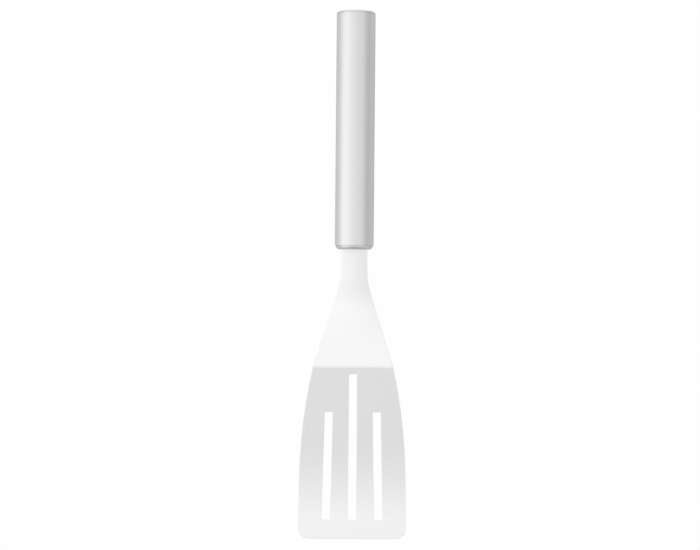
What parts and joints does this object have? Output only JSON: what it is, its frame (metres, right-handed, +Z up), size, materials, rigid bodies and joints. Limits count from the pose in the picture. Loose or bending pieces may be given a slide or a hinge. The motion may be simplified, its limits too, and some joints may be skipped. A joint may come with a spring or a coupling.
{
  "type": "slotted spatula",
  "caption": "Slotted steel kitchen turner: round tube handle with a closed end, crowned neck, and a folded, upcurved blade with drain slots.",
  "frame": {"origin": "on the table, under the middle of the spatula's length and width, as it lies on its handle and fold", "axes": "+Y from the blade's tip to the handle's closed end, +X to the right seen from above with the tip towards the viewer, +Z up off the food side of the blade"},
  "size_m": [0.068, 0.335, 0.0356],
  "materials": {
    "blade_steel": "fine satin, bright",
    "handle_steel": "matt satin",
    "cap_steel": "fine turned",
    "pin_steel": "plain drawn",
    "liner_plastic": "moulded",
    "seal_rubber": "matt"
  },
  "bodies": {
    "root": {"blade": "blade_steel", "handle_tube": "handle_steel", "end_cap": "cap_steel", "front_cap": "cap_steel", "neck_seal": "seal_rubber", "core_upper": "liner_plastic", "core_lower": "liner_plastic", "tang_pin_front": "pin_steel", "tang_pin_rear": "pin_steel"}
  },
  "joints": []
}
